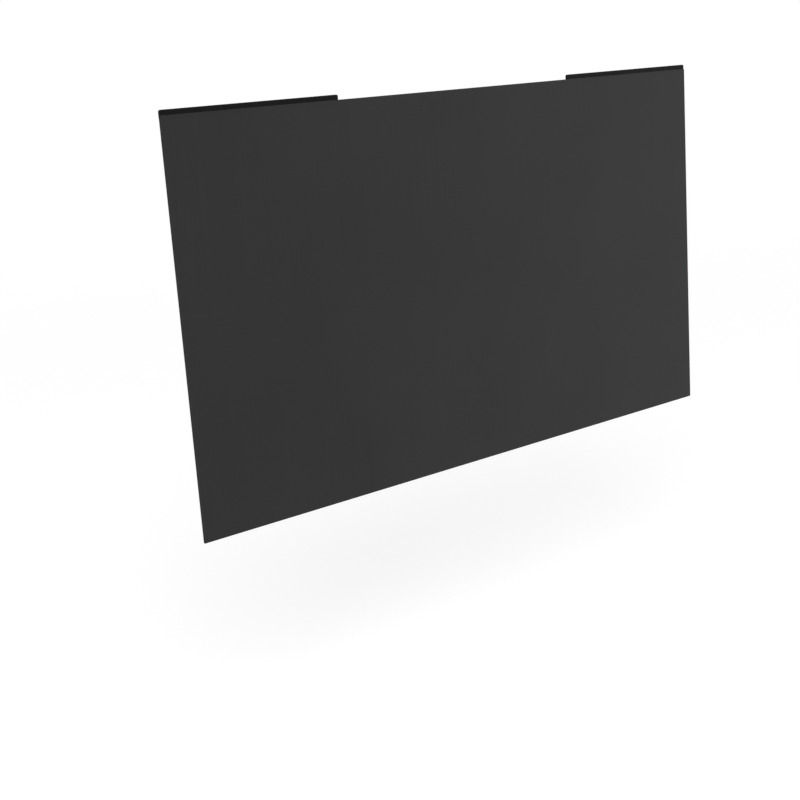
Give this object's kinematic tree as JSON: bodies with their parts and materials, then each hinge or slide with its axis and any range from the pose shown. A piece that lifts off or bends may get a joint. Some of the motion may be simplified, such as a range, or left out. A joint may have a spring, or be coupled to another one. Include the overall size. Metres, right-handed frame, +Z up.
{
  "type": "monitor privacy filter",
  "caption": "Flat near-black louvre sheet that narrows the viewing angle of a widescreen monitor, held on its bezel by a slim magnetic strip at each top corner.",
  "frame": {"origin": "middle of the sheet's width and height, in the plane of the strips' rear faces that meets the monitor's bezel; 2.1 mm below and 1 mm behind the middle of the overall box", "axes": "+X to the viewer's right along the sheet's width, +Y away from the viewer towards the monitor, +Z up; the sheet's front faces -Y"},
  "size_m": [0.598, 0.002, 0.3406],
  "materials": {
    "louvre_sheet": "smoke-black louvre film with a low-glare satin face",
    "strip_plastic": "satin black moulded plastic",
    "back_plate": "smooth matt black plastic plate",
    "tape": "clear double-sided adhesive tape",
    "magnet": "nickel-plated bar magnet"
  },
  "bodies": {
    "root": {"privacy_sheet": "louvre_sheet", "left_strip": "strip_plastic", "right_strip": "strip_plastic", "left_strip_back": "back_plate", "right_strip_back": "back_plate", "left_tape": "tape", "right_tape": "tape", "left_magnet_1": "magnet", "left_magnet_2": "magnet", "left_magnet_3": "magnet", "left_magnet_4": "magnet", "right_magnet_1": "magnet", "right_magnet_2": "magnet", "right_magnet_3": "magnet", "right_magnet_4": "magnet"}
  },
  "joints": []
}
